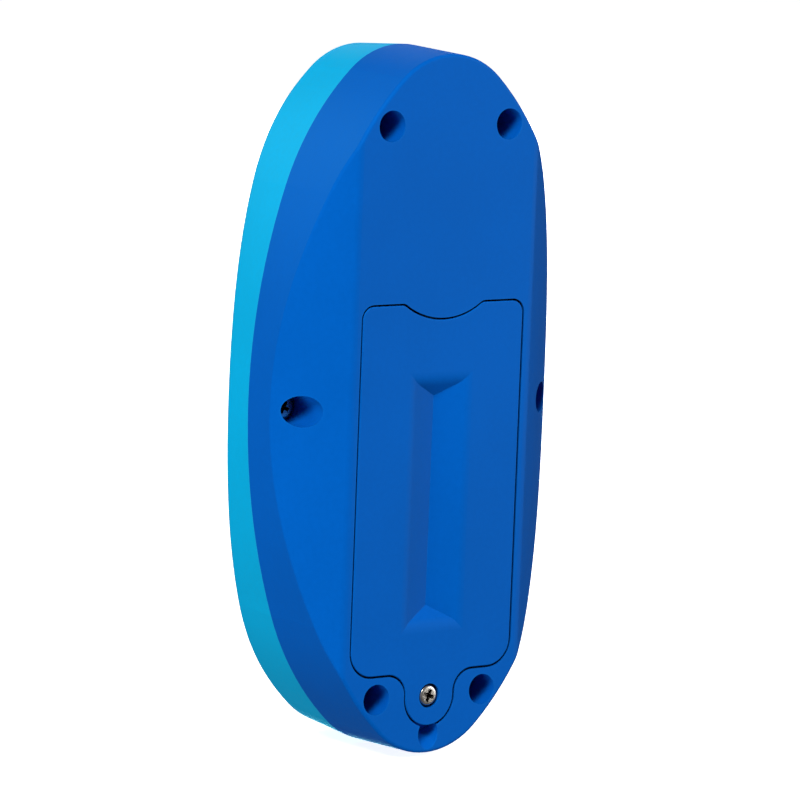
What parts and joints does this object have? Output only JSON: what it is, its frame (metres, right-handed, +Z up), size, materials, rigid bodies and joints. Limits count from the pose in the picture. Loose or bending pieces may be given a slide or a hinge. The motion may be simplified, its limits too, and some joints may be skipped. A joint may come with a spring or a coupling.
{
  "type": "handheld electronic learning game",
  "caption": "Oval two-tone battery-powered handheld learning game with keypad, display, screwed battery door and recessed case screws.",
  "frame": {"origin": "middle of the case, halfway along each of its three sizes", "axes": "+Z up the long axis towards the display end, +Y out of the front with the keys, -Y out of the back with the battery door, +X to the right as seen from behind"},
  "size_m": [0.075, 0.0372, 0.1562],
  "materials": {
    "board_green": "solder mask",
    "capacitor_sleeve": "shrink sleeve",
    "case_blue": "fine moulded grain",
    "case_light_blue": "fine moulded grain",
    "cell_jacket": "printed sleeve over steel can",
    "chip_epoxy": "epoxy blob",
    "clip_steel": "plated",
    "connector_rubber": "layered elastomer",
    "contact_nickel": "nickel plated spring steel",
    "crystal_can": "drawn can",
    "display_glass": "reflective display panel",
    "faceplate_white": "smooth moulded",
    "foam_black": "foam ring",
    "frame_black": "moulded",
    "insert_brass": "turned",
    "key_function": "satin moulded",
    "key_number": "satin moulded",
    "rubber_grey": "moulded silicone",
    "screw_steel": "nickel plated",
    "speaker_cone": "film cone in steel basket",
    "speaker_steel": "plated",
    "window_clear": "clear acrylic",
    "wire_black": "insulated wire",
    "wire_red": "insulated wire"
  },
  "bodies": {
    "root": {"back_shell": "case_blue", "board_screws": "screw_steel", "capacitor": "capacitor_sleeve", "case_screws": "screw_steel", "cell_left": "cell_jacket", "cell_right": "cell_jacket", "circuit_board": "board_green", "contact_link": "contact_nickel", "contact_negative": "contact_nickel", "contact_positive": "contact_nickel", "crystal": "crystal_can", "display_connector_lower": "connector_rubber", "display_connector_upper": "connector_rubber", "display_frame": "frame_black", "display_glass": "display_glass", "display_window": "window_clear", "door_insert": "insert_brass", "faceplate": "faceplate_white", "front_shell": "case_light_blue", "key_mat": "rubber_grey", "processor": "chip_epoxy", "speaker": "speaker_cone", "speaker_gasket": "foam_black", "speaker_magnet": "speaker_steel", "speaker_ring": "case_light_blue", "spring_left": "contact_nickel", "spring_right": "contact_nickel", "wire_black_battery": "wire_black", "wire_black_speaker": "wire_black", "wire_red_battery": "wire_red", "wire_red_speaker": "wire_red"},
    "door": {"battery_door": "case_blue"},
    "door_screw": {"door_screw": "screw_steel", "screw_clip": "clip_steel"},
    "key_0": {"key_0": "key_number"},
    "key_1": {"key_1": "key_number"},
    "key_2": {"key_2": "key_number"},
    "key_3": {"key_3": "key_number"},
    "key_4": {"key_4": "key_number"},
    "key_5": {"key_5": "key_number"},
    "key_6": {"key_6": "key_number"},
    "key_7": {"key_7": "key_number"},
    "key_8": {"key_8": "key_number"},
    "key_9": {"key_9": "key_number"},
    "key_clear": {"key_clear": "key_function"},
    "key_enter": {"key_enter": "key_function"},
    "key_hint": {"key_hint": "key_function"},
    "key_mode": {"key_mode": "key_function"},
    "key_power": {"key_power": "key_function"}
  },
  "joints": [
    {"name": "door_swing", "type": "hinge", "parent": "root", "child": "door", "pos_m": [0, -0.0183, 0.0228], "axis": [-1, 0, 0], "range_deg": [0, 55]},
    {"name": "screw_turn", "type": "hinge", "parent": "door", "child": "door_screw", "pos_m": [0, -0.0186, -0.0644], "axis": [0, -1, 0], "range_deg": [0, 2160]},
    {"name": "key_0_press", "type": "slide", "parent": "root", "child": "key_0", "axis": [0, -1, 0], "range_m": [0, 0.001], "stiffness_N_per_m": 300},
    {"name": "key_1_press", "type": "slide", "parent": "root", "child": "key_1", "axis": [0, -1, 0], "range_m": [0, 0.001], "stiffness_N_per_m": 300},
    {"name": "key_2_press", "type": "slide", "parent": "root", "child": "key_2", "axis": [0, -1, 0], "range_m": [0, 0.001], "stiffness_N_per_m": 300},
    {"name": "key_3_press", "type": "slide", "parent": "root", "child": "key_3", "axis": [0, -1, 0], "range_m": [0, 0.001], "stiffness_N_per_m": 300},
    {"name": "key_4_press", "type": "slide", "parent": "root", "child": "key_4", "axis": [0, -1, 0], "range_m": [0, 0.001], "stiffness_N_per_m": 300},
    {"name": "key_5_press", "type": "slide", "parent": "root", "child": "key_5", "axis": [0, -1, 0], "range_m": [0, 0.001], "stiffness_N_per_m": 300},
    {"name": "key_6_press", "type": "slide", "parent": "root", "child": "key_6", "axis": [0, -1, 0], "range_m": [0, 0.001], "stiffness_N_per_m": 300},
    {"name": "key_7_press", "type": "slide", "parent": "root", "child": "key_7", "axis": [0, -1, 0], "range_m": [0, 0.001], "stiffness_N_per_m": 300},
    {"name": "key_8_press", "type": "slide", "parent": "root", "child": "key_8", "axis": [0, -1, 0], "range_m": [0, 0.001], "stiffness_N_per_m": 300},
    {"name": "key_9_press", "type": "slide", "parent": "root", "child": "key_9", "axis": [0, -1, 0], "range_m": [0, 0.001], "stiffness_N_per_m": 300},
    {"name": "key_clear_press", "type": "slide", "parent": "root", "child": "key_clear", "axis": [0, -1, 0], "range_m": [0, 0.001], "stiffness_N_per_m": 300},
    {"name": "key_enter_press", "type": "slide", "parent": "root", "child": "key_enter", "axis": [0, -1, 0], "range_m": [0, 0.001], "stiffness_N_per_m": 300},
    {"name": "key_hint_press", "type": "slide", "parent": "root", "child": "key_hint", "axis": [0, -1, 0], "range_m": [0, 0.001], "stiffness_N_per_m": 300},
    {"name": "key_mode_press", "type": "slide", "parent": "root", "child": "key_mode", "axis": [0, -1, 0], "range_m": [0, 0.001], "stiffness_N_per_m": 300},
    {"name": "key_power_press", "type": "slide", "parent": "root", "child": "key_power", "axis": [0, -1, 0], "range_m": [0, 0.001], "stiffness_N_per_m": 300}
  ]
}
